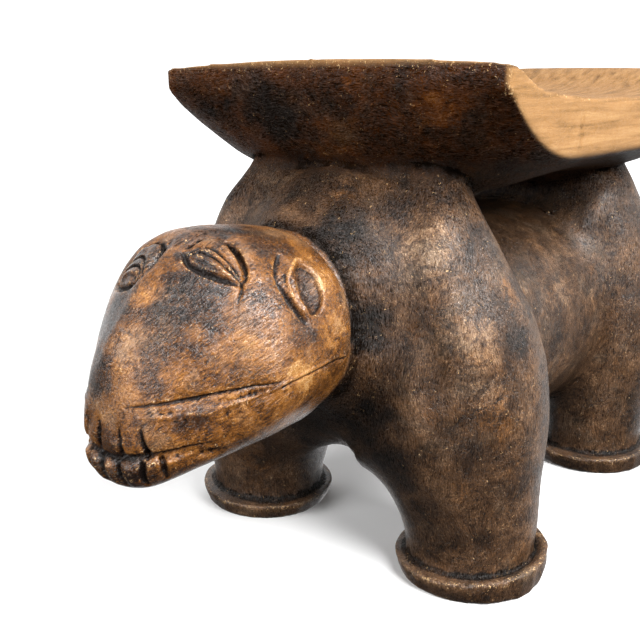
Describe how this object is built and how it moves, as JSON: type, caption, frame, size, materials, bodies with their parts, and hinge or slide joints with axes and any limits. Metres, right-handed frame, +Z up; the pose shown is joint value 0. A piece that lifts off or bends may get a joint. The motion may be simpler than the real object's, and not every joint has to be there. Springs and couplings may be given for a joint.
{
  "type": "carved wooden animal stool",
  "caption": "Wooden stool carved from one block as a standing animal, with a large blunt head, stout arched legs on disc feet and a long dished seat carried on its back.",
  "frame": {"origin": "on the floor, in the middle of the stool's length and width", "axes": "+Z up, -Y the way the animal looks, +X its left side"},
  "size_m": [0.2584, 0.474, 0.302],
  "materials": {
    "dark_wood": "hand-rubbed dark patina, worn to bare light wood along the seat's edges"
  },
  "bodies": {
    "root": {"stool": "dark_wood"}
  },
  "joints": []
}
